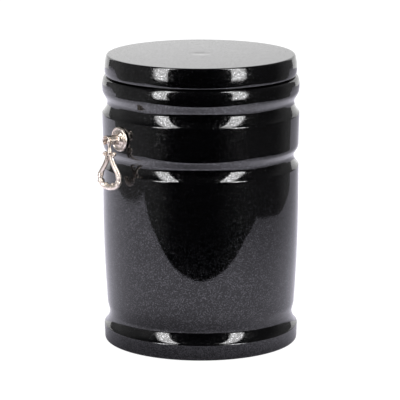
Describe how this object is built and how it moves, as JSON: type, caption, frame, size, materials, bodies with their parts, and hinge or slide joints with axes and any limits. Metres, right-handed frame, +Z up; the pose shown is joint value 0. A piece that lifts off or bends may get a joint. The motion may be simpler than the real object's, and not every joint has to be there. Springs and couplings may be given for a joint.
{
  "type": "cremation urn",
  "caption": "Turned cylindrical urn of polished black granite with grooved bands, a loose thick disc lid and hinged cast drop-ring handles on its sides.",
  "frame": {"origin": "centre of the underside, on the surface the urn stands on", "axes": "+Z up along the turning axis, X through the pair of handles, -Y the side that both rings are turned towards"},
  "size_m": [0.2418, 0.202, 0.2971],
  "materials": {
    "granite": "mirror-polished, fine pale flecks",
    "nickel": "cast, polished warm nickel"
  },
  "bodies": {
    "urn": {"urn_body": "granite", "lid": "granite", "rosette_left": "nickel", "rosette_right": "nickel", "post_left": "nickel", "post_right": "nickel", "pivot_pin_left": "nickel", "pivot_pin_right": "nickel"},
    "ring_left": {"drop_ring_left": "nickel"},
    "ring_right": {"drop_ring_right": "nickel"}
  },
  "joints": [
    {"name": "ring_left_swing", "type": "hinge", "parent": "urn", "child": "ring_left", "pos_m": [-0.1144, 0, 0.2185], "axis": [-0.3256, 0.9455, 0], "range_deg": [-9, 90]},
    {"name": "ring_right_swing", "type": "hinge", "parent": "urn", "child": "ring_right", "pos_m": [0.1144, 0, 0.2185], "axis": [-0.3256, -0.9455, 0], "range_deg": [-9, 90]}
  ]
}
